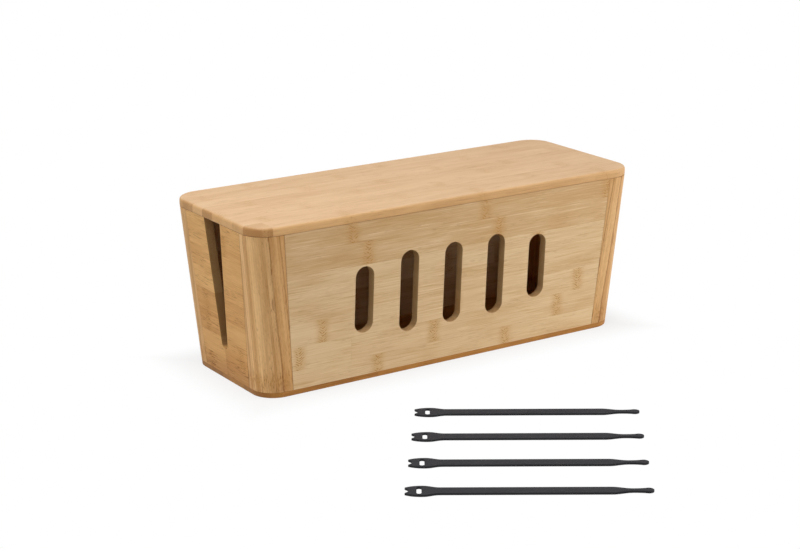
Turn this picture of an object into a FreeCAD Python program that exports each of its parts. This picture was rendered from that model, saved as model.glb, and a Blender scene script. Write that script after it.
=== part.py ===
import FreeCAD, Part
import math
import os
import re

import Sketcher

# Bamboo box that hides a power strip and its cables, with four fabric cable ties.
# The walls lean outwards, so the box is longer and deeper under its lid than at the floor.
# Origin: centre of the base board's underside. X runs along the box, Y to the back, Z up.
# Lengths are in millimetres and angles in degrees.

os.makedirs("parts", exist_ok=True)
doc = FreeCAD.newDocument("cable_management_box")
sheet = doc.addObject("Spreadsheet::Sheet", "sizes")

SIZES = [
    ("lid_length", 430, "lid from end to end"),
    ("lid_depth", 162, "lid from front to back"),
    ("lid_thickness", 8.5, "lid board"),
    ("lid_corner_radius", 24, "lid corners seen from above"),
    ("lid_top_round", 3, "rounded upper rim of the lid"),
    ("lid_under_round", 0.8, "softened lower rim of the lid"),
    ("lid_overhang", 0.5, "lid past the top of the walls on every side"),
    ("wall_top", 156, "upper edge of the walls above the floor"),
    ("wall_thickness", 9, "panels and legs of the posts"),
    ("foot_length", 405.2, "box from end to end at the floor"),
    ("foot_depth", 139.2, "box from front to back at the floor"),
    ("base_thickness", 5, "base board under the walls"),
    ("base_rim_bevel", 0.8, "bevelled lower rim of the base board"),
    ("box_corner_radius", 22.5, "rounded outside of the posts and the base board"),
    ("post_front_leg", 30, "width of a post seen from the front"),
    ("post_end_leg", 28.5, "width of a post seen from the end"),
    ("post_inner_radius", 6, "hollow corner inside a post"),
    ("tongue_depth", 5, "tongue along a panel's upright edge, let into the post"),
    ("tongue_thickness", 3, "tongue across the panel"),
    ("groove_clearance", 0.15, "glue gap round a tongue"),
    ("slot_pitch", 49.3, "front slots from centre to centre"),
    ("slot_width", 20, "front slots"),
    ("slot_long", 80.5, "length of the three middle slots"),
    ("slot_short", 65, "length of the two outer slots"),
    ("slot_height", 80, "middle of the slots above the floor"),
    ("notch_foot", 31.5, "lowest point of the cable notch above the floor"),
    ("notch_end_radius", 5.5, "round foot of the cable notch"),
    ("notch_half_angle", 4.64, "lean of the cable notch's sides from its middle line"),
    ("cleat_width", 20, "batten under the lid, along the box"),
    ("cleat_thickness", 10, "batten under the lid, downwards"),
    ("cleat_inset", 70, "middle of a batten from the lid's end"),
    ("cleat_clearance", 0.8, "batten's end from the wall beside it"),
    ("cleat_corner_cut", 3, "bevelled lower corners of a batten"),
    ("tie_length", 200, "cable tie from head to tip"),
    ("tie_thickness", 2, "woven band of the tie"),
    ("tie_band_width", 12, "band of the tie"),
    ("tie_head_width", 19, "widest place of the head"),
    ("tie_head_reach", 14, "widest place of the head from its horns"),
    ("tie_horn_width", 10.6, "horns from tip to tip"),
    ("tie_mouth_depth", 3.5, "hollow between the horns"),
    ("tie_shoulder_reach", 29, "start of the straight band from the horns"),
    ("tie_eye_reach", 11.7, "middle of the threading slot from the horns"),
    ("tie_eye_width", 4, "threading slot along the tie"),
    ("tie_eye_length", 13.6, "threading slot across the tie"),
    ("tie_taper_start", 33, "end of the straight band, from the tip"),
    ("tie_neck_reach", 17.5, "narrowest place of the neck, from the tip"),
    ("tie_neck_width", 5.2, "narrowest place of the neck"),
    ("tie_tip_radius", 4, "round tip"),
    ("tie_first_x", -24, "middle of the tie nearest to the box"),
    ("tie_first_y", -226, "middle of the tie nearest to the box"),
    ("tie_step_x", -35, "from one tie to the next"),
    ("tie_step_y", -48, "from one tie to the next"),
    ("tie_turn_angle", -33.5, "direction of the ties from the box's long side"),
    ("cut_overrun", 4, "cutters past the faces they cut"),
]
SLOT_NUMBERS = (-2, -1, 0, 1, 2)
TIE_COUNT = 4

for row, (alias, value, meaning) in enumerate(SIZES, start=1):
    sheet.set(f"A{row}", alias)
    sheet.set(f"B{row}", str(value))
    sheet.setAlias(f"B{row}", alias)
    sheet.set(f"C{row}", meaning)
doc.recompute()

ALIASES = {alias for alias, value, meaning in SIZES}
UP = FreeCAD.Vector(0, 0, 1)
ALONG = FreeCAD.Vector(1, 0, 0)
CLOSE = 1e-6


def bound(text):
    """The expression with every named size looked up in the sheet."""
    return re.sub(r"[a-z_]+", lambda word: "sizes." + word[0] if word[0] in ALIASES else word[0], text)


def number(text):
    """Value of an expression in named sizes."""
    value = sheet.evalExpression(bound(text))
    return float(getattr(value, "Value", value))


def half_length(height):
    """Half the box's length at a height above the floor."""
    return f"((foot_length + (lid_length - 2 * lid_overhang - foot_length) * ({height}) / wall_top) / 2)"


def half_depth(height):
    """Half the box's depth at a height above the floor."""
    return f"((foot_depth + (lid_depth - 2 * lid_overhang - foot_depth) * ({height}) / wall_top) / 2)"


FRONT_LEAN = "atan((lid_depth - 2 * lid_overhang - foot_depth) / 2 / wall_top)"
END_LEAN = "atan((lid_length - 2 * lid_overhang - foot_length) / 2 / wall_top)"


def new_body(label, turned=False):
    """An empty body. A turned one stands on the opposite side of the box."""
    body = doc.addObject("PartDesign::Body", label)
    body.Label = label
    if turned:
        body.Placement = FreeCAD.Placement(FreeCAD.Vector(), FreeCAD.Rotation(UP, math.degrees(math.pi)))
    return body


def sketch_on(body, name, role, shift=("0", "0", "0"), tilt=None):
    """An empty sketch on a plane of the body, shifted in that plane's axes and tilted about the first."""
    sketch = body.newObject("Sketcher::SketchObject", name)
    plane = next(item for item in body.Origin.OriginFeatures if item.Role == role)
    sketch.AttachmentSupport = [(plane, "")]
    sketch.MapMode = "FlatFace"
    place = FreeCAD.Vector(*[number(text) for text in shift])
    turn = FreeCAD.Rotation(ALONG, number(tilt) if tilt else 0)
    sketch.AttachmentOffset = FreeCAD.Placement(place, turn)
    for axis, text in zip("xyz", shift):
        if text != "0":
            sketch.setExpression(f"AttachmentOffset.Base.{axis}", bound(text))
    if tilt:
        sketch.setExpression("AttachmentOffset.Rotation.Angle", bound(tilt))
    return sketch


def arc_between(start, end, radius, side):
    """The short arc from start to end whose centre lies on that side of the way."""
    chord = end - start
    middle = (start + end) / 2
    across = FreeCAD.Vector(-chord.y, chord.x, 0).normalize()
    reach = math.sqrt(max(radius ** 2 - (chord.Length / 2) ** 2, 0))
    centre = middle + across * (reach if side == "left" else -reach)
    first, last = (start, end) if side == "left" else (end, start)
    angles = [math.atan2((point - centre).y, (point - centre).x) for point in (first, last)]
    return Part.ArcOfCircle(Part.Circle(centre, UP, radius), angles[0], angles[1])


def trace(sketch, start, steps):
    """Closed outline from start, each step (x, y) for a line or (x, y, radius, side) for an arc.

    Every corner is tied to its expressions, and every arc to its radius.
    """
    corners = [start] + [step[:2] for step in steps]
    points = [FreeCAD.Vector(number(x), number(y), 0) for x, y in corners]
    ends = []
    for index, step in enumerate(steps):
        begin, end = points[index], points[index + 1]
        if len(step) == 2:
            piece = sketch.addGeometry(Part.LineSegment(begin, end), False)
            ends.append((piece, 1, 2))
            continue
        radius, side = step[2:]
        piece = sketch.addGeometry(arc_between(begin, end, number(radius), side), False)
        ends.append((piece, 1, 2) if side == "left" else (piece, 2, 1))
        rule = sketch.addConstraint(Sketcher.Constraint("Radius", piece, number(radius)))
        sketch.setExpression(f"Constraints[{rule}]", bound(radius))
    for index, (piece, first, last) in enumerate(ends):
        follower, follower_first, follower_last = ends[(index + 1) % len(ends)]
        sketch.addConstraint(Sketcher.Constraint("Coincident", piece, last, follower, follower_first))
        for kind, text in zip(("DistanceX", "DistanceY"), corners[index]):
            rule = sketch.addConstraint(Sketcher.Constraint(kind, -1, 1, piece, first, number(text)))
            sketch.setExpression(f"Constraints[{rule}]", bound(text))


def straight(corners):
    """Start and steps of a closed outline of straight sides."""
    return corners[0], corners[1:] + corners[:1]


def rectangle(half_x, half_y):
    """Start and steps of a rectangle about the origin."""
    corners = [
        (half_x, f"-{half_y}"),
        (half_x, half_y),
        (f"-{half_x}", half_y),
        (f"-{half_x}", f"-{half_y}"),
    ]
    return straight(corners)


def round_rectangle(half_x, half_y, radius):
    """Start and steps of a rectangle about the origin with round corners."""
    inner_x = f"({half_x} - {radius})"
    inner_y = f"({half_y} - {radius})"
    start = (half_x, f"-{inner_y}")
    steps = [
        (half_x, inner_y),
        (inner_x, half_y, radius, "left"),
        (f"-{inner_x}", half_y),
        (f"-{half_x}", inner_y, radius, "left"),
        (f"-{half_x}", f"-{inner_y}"),
        (f"-{inner_x}", f"-{half_y}", radius, "left"),
        (inner_x, f"-{half_y}"),
        (*start, radius, "left"),
    ]
    return start, steps


def upright_slot(sketch, x, y, width, length):
    """Slot with round ends, its long way along the sketch's second axis."""
    radius = f"{width} / 2"
    side_low = f"{y} - ({length} - {width}) / 2"
    side_high = f"{y} + ({length} - {width}) / 2"
    start = (f"{x} + {radius}", side_low)
    steps = [
        (f"{x} + {radius}", side_high),
        (x, f"{y} + {length} / 2", radius, "left"),
        (f"{x} - {radius}", side_high, radius, "left"),
        (f"{x} - {radius}", side_low),
        (x, f"{y} - {length} / 2", radius, "left"),
        (*start, radius, "left"),
    ]
    trace(sketch, start, steps)


def leaning_solid(body, outlines):
    """Straight-sided solid through outlines seen from above, from the lowest up.

    Each of them is (height, (start, steps)).
    """
    sketches = []
    for level, (height, outline) in enumerate(outlines):
        sketch = sketch_on(body, f"{body.Label}_level_{level}", "XY_Plane", ("0", "0", height))
        trace(sketch, *outline)
        sketches.append(sketch)
    feature = body.newObject("PartDesign::AdditiveLoft", body.Label + "_loft")
    feature.Profile = sketches[0]
    feature.Sections = sketches[1:]
    feature.Ruled = True
    doc.recompute()
    return feature


def wall_solid(body, outline):
    """Piece of the wall, from the base board up to the lid. outline(height) is its outline there."""
    return leaning_solid(body, [(height, outline(height)) for height in ("base_thickness", "wall_top")])


def pad(body, sketch, thickness):
    """Board of that thickness on a sketch."""
    feature = body.newObject("PartDesign::Pad", body.Label + "_board")
    feature.Profile = sketch
    feature.setExpression("Length", bound(thickness))
    doc.recompute()
    return feature


def pocket(body, sketch, depth):
    """Cut of that depth against the sketch's normal. It has to take material away."""
    before = body.Shape.Volume
    feature = body.newObject("PartDesign::Pocket", sketch.Name + "_cut")
    feature.Profile = sketch
    feature.setExpression("Length", bound(depth))
    doc.recompute()
    if feature.Shape.Volume >= before:
        raise ValueError(f"{feature.Name} cuts nothing")
    print(f"{feature.Name}: {before - feature.Shape.Volume:.0f} mm3 cut away")
    return feature


def fillet(body, base, names, radius):
    """Rounds edges, or all edges round a face, of the last feature."""
    feature = body.newObject("PartDesign::Fillet", f"{base.Name}_round")
    feature.Base = (base, names)
    feature.setExpression("Radius", bound(radius))
    doc.recompute()
    return feature


def chamfer(body, base, names, size):
    """Bevels edges of the last feature."""
    feature = body.newObject("PartDesign::Chamfer", f"{base.Name}_bevel")
    feature.Base = (base, names)
    feature.setExpression("Size", bound(size))
    doc.recompute()
    return feature


def rim_edges(feature, height):
    """Names of the level edges at a height."""
    names = []
    for index, edge in enumerate(feature.Shape.Edges, start=1):
        heights = [vertex.Point.z for vertex in edge.Vertexes]
        if max(abs(z - number(height)) for z in heights) < CLOSE:
            names.append(f"Edge{index}")
    return names


def make_lid():
    """Flat board with round corners and a rounded upper rim."""
    body = new_body("lid")
    sketch = sketch_on(body, "lid_outline", "XY_Plane", ("0", "0", "wall_top"))
    trace(sketch, *round_rectangle("lid_length / 2", "lid_depth / 2", "lid_corner_radius"))
    board = pad(body, sketch, "lid_thickness")
    upper = fillet(body, board, rim_edges(board, "wall_top + lid_thickness"), "lid_top_round")
    fillet(body, upper, rim_edges(upper, "wall_top"), "lid_under_round")


def make_cleat(label, turned):
    """Batten across the underside of the lid. It drops in between the front and the back panel."""
    body = new_body(label, turned)
    low = "(wall_top - cleat_thickness)"
    sketch = sketch_on(body, label + "_outline", "XY_Plane", ("lid_length / 2 - cleat_inset", "0", low))
    trace(sketch, *rectangle("cleat_width / 2", f"({half_depth(low)} - wall_thickness - cleat_clearance)"))
    batten = pad(body, sketch, "cleat_thickness")
    lower = rim_edges(batten, low)
    chamfer(body, batten, lower, "cleat_corner_cut")


def base_outline(height, inset="0"):
    """Base board seen from above at a height."""
    half_x = f"({half_length(height)} - {inset})"
    half_y = f"({half_depth(height)} - {inset})"
    return round_rectangle(half_x, half_y, f"(box_corner_radius - {inset})")


def make_base():
    """Base board, flush with the posts, with the same lean and corners and a bevelled lower rim."""
    body = new_body("base_board")
    outlines = [
        ("0", base_outline("0", "base_rim_bevel")),
        ("base_rim_bevel", base_outline("base_rim_bevel")),
        ("base_thickness", base_outline("base_thickness")),
    ]
    leaning_solid(body, outlines)


TONGUE_NEAR = "((wall_thickness - tongue_thickness) / 2)"
TONGUE_FAR = "((wall_thickness + tongue_thickness) / 2)"


def front_outline(height):
    """Front panel seen from above at a height, with a tongue at both ends."""
    side = f"({half_length(height)} - post_front_leg)"
    tip = f"({side} + tongue_depth)"
    outer = f"-{half_depth(height)}"
    half = [
        (side, outer),
        (side, f"{outer} + {TONGUE_NEAR}"),
        (tip, f"{outer} + {TONGUE_NEAR}"),
        (tip, f"{outer} + {TONGUE_FAR}"),
        (side, f"{outer} + {TONGUE_FAR}"),
        (side, f"{outer} + wall_thickness"),
    ]
    return straight(half + [(f"-{x}", y) for x, y in reversed(half)])


def end_outline(height):
    """Right end panel seen from above at a height, with a tongue at both ends."""
    side = f"({half_depth(height)} - post_end_leg)"
    tip = f"({side} + tongue_depth)"
    outer = half_length(height)
    half = [
        (outer, side),
        (f"{outer} - {TONGUE_NEAR}", side),
        (f"{outer} - {TONGUE_NEAR}", tip),
        (f"{outer} - {TONGUE_FAR}", tip),
        (f"{outer} - {TONGUE_FAR}", side),
        (f"{outer} - wall_thickness", side),
    ]
    return straight(half + [(x, f"-{y}") for x, y in reversed(half)])


def post_outline(height, front):
    """Right post seen from above at a height: two legs with a groove in the end of each.

    front is -1 for the post at the front and 1 for the one at the back.
    """
    corner = half_length(height)
    depth = half_depth(height)
    near = f"({TONGUE_NEAR} - groove_clearance)"
    far = f"({TONGUE_FAR} + groove_clearance)"
    groove = "(tongue_depth + groove_clearance)"
    inner = "(wall_thickness + post_inner_radius)"
    out_turn, in_turn = ("left", "right") if front < 0 else ("right", "left")
    from_corner = [
        ("box_corner_radius", "0"),
        ("0", "box_corner_radius", "box_corner_radius", out_turn),
        ("0", "post_end_leg"),
        (near, "post_end_leg"),
        (near, f"(post_end_leg - {groove})"),
        (far, f"(post_end_leg - {groove})"),
        (far, "post_end_leg"),
        ("wall_thickness", "post_end_leg"),
        ("wall_thickness", inner),
        (inner, "wall_thickness", "post_inner_radius", in_turn),
        ("post_front_leg", "wall_thickness"),
        ("post_front_leg", far),
        (f"(post_front_leg - {groove})", far),
        (f"(post_front_leg - {groove})", near),
        ("post_front_leg", near),
        ("post_front_leg", "0"),
        ("box_corner_radius", "0"),
    ]
    sign = "-" if front < 0 else ""
    places = [(f"{corner} - {step[0]}", f"{sign}({depth} - {step[1]})", *step[2:]) for step in from_corner]
    return places[0], places[1:]


def make_post(label, front, turned):
    """Corner post, rounded outside, that leans with both walls it joins."""
    body = new_body(label, turned)
    wall_solid(body, lambda height: post_outline(height, front))


def make_front_panel():
    """Leaning front board with five upright slots, the outer two shorter."""
    body = new_body("front_panel")
    wall_solid(body, front_outline)
    face = f"{half_depth('slot_height')} + cut_overrun"
    sketch = sketch_on(body, "front_slots", "XZ_Plane", ("0", "slot_height", face), FRONT_LEAN)
    for place in SLOT_NUMBERS:
        length = "slot_short" if abs(place) == max(SLOT_NUMBERS) else "slot_long"
        upright_slot(sketch, f"{place} * slot_pitch", "0", "slot_width", length)
    pocket(body, sketch, "wall_thickness + 2 * cut_overrun")


def make_back_panel():
    """Leaning back board, closed."""
    body = new_body("back_panel", True)
    wall_solid(body, front_outline)


def make_end_panel(label, turned):
    """Leaning end board with a notch for cables, narrow and round at its foot and open under the lid."""
    body = new_body(label, turned)
    wall_solid(body, end_outline)
    face = f"{half_length('notch_foot')} + cut_overrun"
    sketch = sketch_on(body, label + "_notch", "YZ_Plane", ("0", "notch_foot", face), END_LEAN)
    side_x = "(notch_end_radius * cos(notch_half_angle))"
    side_y = "(notch_end_radius * (1 - sin(notch_half_angle)))"
    mouth_y = f"((wall_top - notch_foot) / cos({END_LEAN}) + cut_overrun)"
    mouth_x = f"({side_x} + ({mouth_y} - {side_y}) * tan(notch_half_angle))"
    steps = [
        (side_x, side_y, "notch_end_radius", "left"),
        (mouth_x, mouth_y),
        (f"-{mouth_x}", mouth_y),
        (f"-{side_x}", side_y),
        ("0", "0", "notch_end_radius", "left"),
    ]
    trace(sketch, ("0", "0"), steps)
    pocket(body, sketch, "wall_thickness + 2 * cut_overrun")


def arc_radius(along, aside):
    """Radius of an arc that starts level and ends that far along and that far aside."""
    return f"(({along} ^ 2 + {aside} ^ 2) / (2 * {aside}))"


def double_curve(start, end, falls):
    """Two equal arcs from one level stretch of the outline to a lower or a higher one."""
    (x_start, y_start), (x_end, y_end) = start, end
    run = f"(({x_end} - {x_start}) / 2)"
    step = f"(({y_start} - {y_end}) / 2)" if falls else f"(({y_end} - {y_start}) / 2)"
    middle = (f"({x_start} + {run})", f"(({y_start} + {y_end}) / 2)")
    first, second = ("right", "left") if falls else ("left", "right")
    radius = arc_radius(run, step)
    return [(*middle, radius, first), (x_end, y_end, radius, second)]


def tie_outline():
    """Start and steps of a tie's outline, along the sketch's first axis from its middle."""
    horns = "(-tie_length / 2)"
    tip = "(tie_length / 2)"
    horn = "(tie_horn_width / 2)"
    widest = (f"({horns} + tie_head_reach)", "(tie_head_width / 2)")
    shoulder = (f"({horns} + tie_shoulder_reach)", "(tie_band_width / 2)")
    taper = (f"({tip} - tie_taper_start)", "(tie_band_width / 2)")
    neck = (f"({tip} - tie_neck_reach)", "(tie_neck_width / 2)")
    tip_side = (f"({tip} - tie_tip_radius)", "tie_tip_radius")
    mouth_radius = arc_radius(horn, "tie_mouth_depth")
    head_radius = arc_radius("tie_head_reach", f"(tie_head_width / 2 - {horn})")
    start = (f"({horns} + tie_mouth_depth)", "0")
    upper = [(horns, horn, mouth_radius, "left"), (*widest, head_radius, "right")]
    upper += double_curve(widest, shoulder, True) + [taper]
    upper += double_curve(taper, neck, True) + double_curve(neck, tip_side, False)
    upper += [(tip, "0", "tie_tip_radius", "right")]
    lower = []
    for previous, step in zip(reversed([start] + upper[:-1]), reversed(upper)):
        lower.append((previous[0], f"-{previous[1]}") + step[2:])
    return start, upper + lower


def make_tie(place):
    """Flat fabric strap that lies in front of the box: head with a threading slot, band, neck and tip."""
    label = f"cable_tie_{place + 1}"
    body = new_body(label)
    x = f"tie_first_x + {place} * tie_step_x"
    y = f"tie_first_y + {place} * tie_step_y"
    turn = FreeCAD.Rotation(UP, number("tie_turn_angle"))
    body.Placement = FreeCAD.Placement(FreeCAD.Vector(number(x), number(y), 0), turn)
    body.setExpression("Placement.Base.x", bound(x))
    body.setExpression("Placement.Base.y", bound(y))
    body.setExpression("Placement.Rotation.Angle", bound("tie_turn_angle"))
    sketch = sketch_on(body, label + "_outline", "XY_Plane")
    trace(sketch, *tie_outline())
    upright_slot(sketch, "(tie_eye_reach - tie_length / 2)", "0", "tie_eye_width", "tie_eye_length")
    pad(body, sketch, "tie_thickness")


make_lid()
make_cleat("lid_cleat_right", False)
make_cleat("lid_cleat_left", True)
make_base()
make_front_panel()
make_back_panel()
make_end_panel("right_end_panel", False)
make_end_panel("left_end_panel", True)
make_post("front_right_post", -1, False)
make_post("back_right_post", 1, False)
make_post("back_left_post", -1, True)
make_post("front_left_post", 1, True)
for place in range(TIE_COUNT):
    make_tie(place)
doc.recompute()

for item in doc.Objects:
    if "Invalid" in item.State or "Error" in item.State:
        raise ValueError(f"{item.Name} did not build: {item.State}")

bodies = [item for item in doc.Objects if item.TypeId == "PartDesign::Body"]
for body in bodies:
    if body.Shape.isNull() or not body.Shape.isValid() or len(body.Shape.Solids) != 1:
        raise ValueError(f"{body.Label} is not one sound solid")
    body.Shape.exportStep(f"parts/{body.Label}.step")
    box = body.Shape.optimalBoundingBox(False, False)
    extent = f"{box.XLength:.1f} x {box.YLength:.1f} x {box.ZLength:.1f} mm"
    print(f"{body.Label}: {extent}, {body.Shape.Volume:.0f} mm3")
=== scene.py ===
# %% [markdown]
# # A cable management box of bamboo, with four cable ties
# The CAD model gives every piece its place and its size, and its solids stay in the physics model.
# Here each of them gets a finer twin: the same board with softened edges, in laminated bamboo under
# a satin lacquer, and the same straps in dark hook-and-loop fabric.
# The CAD model is loaded first, because every new piece rides on one of its bodies.

# %% Load the CAD model
import math
import random

import bmesh
import bpy
from mathutils import Matrix, Quaternion, Vector


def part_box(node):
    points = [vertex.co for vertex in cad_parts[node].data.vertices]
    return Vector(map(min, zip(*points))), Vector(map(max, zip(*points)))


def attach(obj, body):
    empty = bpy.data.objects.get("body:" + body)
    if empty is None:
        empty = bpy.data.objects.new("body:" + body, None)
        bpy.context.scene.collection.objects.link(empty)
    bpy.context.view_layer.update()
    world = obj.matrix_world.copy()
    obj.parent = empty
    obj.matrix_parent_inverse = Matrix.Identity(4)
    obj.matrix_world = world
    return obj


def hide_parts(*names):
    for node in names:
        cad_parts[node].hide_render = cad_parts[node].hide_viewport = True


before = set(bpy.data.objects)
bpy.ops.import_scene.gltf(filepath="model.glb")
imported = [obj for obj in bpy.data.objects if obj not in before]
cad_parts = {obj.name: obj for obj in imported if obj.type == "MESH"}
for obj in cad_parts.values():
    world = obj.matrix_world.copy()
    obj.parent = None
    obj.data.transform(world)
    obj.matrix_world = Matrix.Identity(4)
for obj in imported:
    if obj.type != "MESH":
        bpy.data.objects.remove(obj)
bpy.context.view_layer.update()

MM = 0.001

# %% [markdown]
# ## The camera
# The box's own straight edges in the photograph give the place of the camera: it stands to the left
# of the box's front, a little above it, and looks slightly down. The lens follows from how fast the
# edges run together. Its rotation comes from the line of sight and a small roll about that line.

# %% Camera
CAMERA_PLACE = Vector((-0.98942, -1.50723, 0.60592))
SIGHT = Vector((0.52199, 0.80380, -0.28535))
LENS = 86.4
SENSOR_WIDTH = 36
ROLL = math.radians(-0.41)

camera = bpy.data.objects.new("camera", bpy.data.cameras.new("camera"))
bpy.context.collection.objects.link(camera)
camera.location = CAMERA_PLACE
camera.rotation_mode = "QUATERNION"
camera.rotation_quaternion = SIGHT.to_track_quat("-Z", "Y") @ Quaternion((0, 0, 1), ROLL)
camera.data.lens = LENS
camera.data.sensor_width = SENSOR_WIDTH
camera.data.clip_start = 0.01
bpy.context.scene.camera = camera
bpy.context.view_layer.update()
print("camera looks along", [round(value, 3) for value in SIGHT])

# %% [markdown]
# ## Shader arithmetic
# A material is a graph of nodes, and wiring it by hand hides what it computes. A small class wraps a
# socket, so that sums and products of such readings are written as in any other Python code, and
# each of them adds its Math node. Everything else goes through one method that adds a node.

# %% Readings: numbers that change over a surface
class Reading:
    """A number that changes over a surface. Arithmetic on it adds Math nodes to its finish."""

    def __init__(self, finish, socket):
        self.finish = finish
        self.socket = socket

    def __add__(self, other):
        return self.finish.maths("ADD", self, other)

    __radd__ = __add__

    def __sub__(self, other):
        return self.finish.maths("SUBTRACT", self, other)

    def __rsub__(self, other):
        return self.finish.maths("SUBTRACT", other, self)

    def __mul__(self, other):
        return self.finish.maths("MULTIPLY", self, other)

    __rmul__ = __mul__

    def __truediv__(self, other):
        return self.finish.maths("DIVIDE", self, other)

    def __abs__(self):
        return self.finish.maths("ABSOLUTE", self)

    def floor(self):
        return self.finish.maths("FLOOR", self)

    def above(self, low, high):
        """0 below low, 1 above high, and a smooth step between them."""
        step = {"interpolation_type": "SMOOTHSTEP"}
        node = self.finish.add("ShaderNodeMapRange", step, {"Value": self, "From Min": low, "From Max": high})
        return Reading(self.finish, node.outputs["Result"])


print("a reading knows:", [name for name in vars(Reading) if name != "__module__"])


# %% Graphs of nodes
class Graph:
    """A node graph under construction."""

    def __init__(self, tree):
        self.tree = tree

    def add(self, kind, settings=None, inputs=None):
        """Adds a node. Its settings are set first, and then its sockets get values or links."""
        node = self.tree.nodes.new(kind)
        for name, value in (settings or {}).items():
            if name == "stops":
                self.fill_ramp(node.color_ramp, value)
            else:
                setattr(node, name, value)
        for name, value in (inputs or {}).items():
            self.give(node.inputs[name], value)
        return node

    def give(self, socket, value):
        """Links a reading or another socket, or sets a plain value."""
        if isinstance(value, Reading):
            value = value.socket
        if isinstance(value, bpy.types.NodeSocket):
            self.tree.links.new(value, socket)
        else:
            socket.default_value = value

    def fill_ramp(self, ramp, stops):
        """Constant steps of a colour ramp, each a position and a colour."""
        ramp.interpolation = "CONSTANT"
        while len(ramp.elements) > 1:
            ramp.elements.remove(ramp.elements[-1])
        ramp.elements[0].position, ramp.elements[0].color = stops[0]
        for position, colour in stops[1:]:
            ramp.elements.new(position).color = colour

    def maths(self, operation, *values):
        """Reading of a Math node on readings, sockets or numbers."""
        node = self.add("ShaderNodeMath", {"operation": operation}, dict(enumerate(values)))
        return Reading(self, node.outputs[0])

    def seen_directly(self):
        """1 for rays from the camera, also by way of a mirror or glass, and 0 for all others."""
        path = self.add("ShaderNodeLightPath").outputs
        mirrored = self.maths("MAXIMUM", path["Is Glossy Ray"], path["Is Transmission Ray"])
        return self.maths("MAXIMUM", path["Is Camera Ray"], mirrored)


print("a graph can:", [name for name in vars(Graph) if not name.startswith("_")])


# %% Finishes: materials built node by node
class Finish(Graph):
    """A material under construction, with the surface's own coordinates in metres."""

    def __init__(self, name):
        self.material = bpy.data.materials.new(name)
        self.material.use_nodes = True
        super().__init__(self.material.node_tree)
        self.shader = self.tree.nodes["Principled BSDF"]
        surface = self.add("ShaderNodeTexCoord").outputs
        self.coordinates = surface["Object"]
        self.normal = surface["Normal"]

    def along(self, vector, axis):
        """Reading of how far a vector of the surface goes along a plain vector."""
        node = self.add("ShaderNodeVectorMath", {"operation": "DOT_PRODUCT"}, {0: vector, 1: axis})
        return Reading(self, node.outputs["Value"])

    def measure(self, axis):
        """Millimetres along a plain vector on the object's own axes."""
        return self.along(self.coordinates, tuple(value / MM for value in axis))

    def faces(self, axis):
        """How far the surface faces along a plain vector, either way: 0 where it runs parallel to it."""
        return abs(self.along(self.normal, axis))

    def blend(self, share, first, second, mode="MIX"):
        """Colour between two colours, by a share from 0 to 1."""
        settings = {"data_type": "RGBA", "blend_type": mode}
        return self.add("ShaderNodeMix", settings, {0: share, 6: first, 7: second}).outputs[2]

    def mottle(self, readings, sizes, detail=2, roughness=0.5):
        """Soft noise whose patches are about so many millimetres in size along each reading."""
        scaled = [reading / size for reading, size in zip(readings, sizes)]
        vector = self.add("ShaderNodeCombineXYZ", None, dict(enumerate(scaled))).outputs[0]
        inputs = {"Vector": vector, "Scale": 1, "Detail": detail, "Roughness": roughness}
        return Reading(self, self.add("ShaderNodeTexNoise", None, inputs).outputs["Fac"])

    def dress(self, base_colour, roughness, height, relief, depth):
        """Gives the shader its colour, its roughness and a relief, whose height counts in depths."""
        self.give(self.shader.inputs["Base Color"], base_colour)
        self.give(self.shader.inputs["Roughness"], roughness)
        bump = self.add("ShaderNodeBump", None, {"Height": height, "Strength": relief, "Distance": depth})
        self.give(self.shader.inputs["Normal"], bump.outputs["Normal"])


def colour(red, green, blue):
    """Scene colour of a colour as a screen shows it, from 0 to 255."""
    shares = [value / 255 for value in (red, green, blue)]
    return (*[share / 12.92 if share < 0.04045 else ((share + 0.055) / 1.055) ** 2.4 for share in shares], 1)


print("pale bamboo is", [round(value, 3) for value in colour(222, 186, 140)])

# %% [markdown]
# ## Floor, backdrop and light
# The photograph shows the box on pure white with only a faint shadow at its foot. A floor that is
# partly its own white light for the camera, and a plain pale surface for everything else, gives that
# without more light on the object. Some 45 mm outside the box the floor is all its own light, so that
# no edge of the floor shows. The light on the object is a large soft lamp above its left half, since
# the lid is the brightest face, one low on the right, which makes the front fade to the left, and a
# faint one behind the left end, from where it can't light the walls of the slots and the notch.
# Painted shade in the boards' colours adds to both: the front is painted darker towards its left end,
# and those walls browner.

# %% Floor
FLOOR_SIZE = 12
FLOOR_DROP = 0.05 * MM
PALE_FLOOR = (0.8, 0.8, 0.8, 1)
WHITE = (1, 1, 1, 1)
HALF_FOOT_LENGTH = 203
HALF_FOOT_DEPTH = 70
GLOW_AT_THE_BOX = 0.75
GLOW_GROWS_FROM = -5
GLOW_IS_FULL_AT = 45

floor_finish = Finish("pale_floor")
floor_finish.shader.inputs["Base Color"].default_value = PALE_FLOOR
floor_finish.shader.inputs["Roughness"].default_value = 0.9
floor_finish.shader.inputs["Specular IOR Level"].default_value = 0
beside_the_ends = abs(floor_finish.measure((1, 0, 0))) - HALF_FOOT_LENGTH
before_the_front = abs(floor_finish.measure((0, 1, 0))) - HALF_FOOT_DEPTH
from_the_box = floor_finish.maths("MAXIMUM", beside_the_ends, before_the_front)
glow_share = from_the_box.above(GLOW_GROWS_FROM, GLOW_IS_FULL_AT) * (1 - GLOW_AT_THE_BOX) + GLOW_AT_THE_BOX
glow = floor_finish.add("ShaderNodeEmission", None, {"Color": WHITE, "Strength": 1})
seen = floor_finish.seen_directly() * glow_share
layers = {0: seen, 1: floor_finish.shader.outputs[0], 2: glow.outputs[0]}
shown = floor_finish.add("ShaderNodeMixShader", None, layers)
floor_finish.give(floor_finish.tree.nodes["Material Output"].inputs["Surface"], shown.outputs[0])

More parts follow.
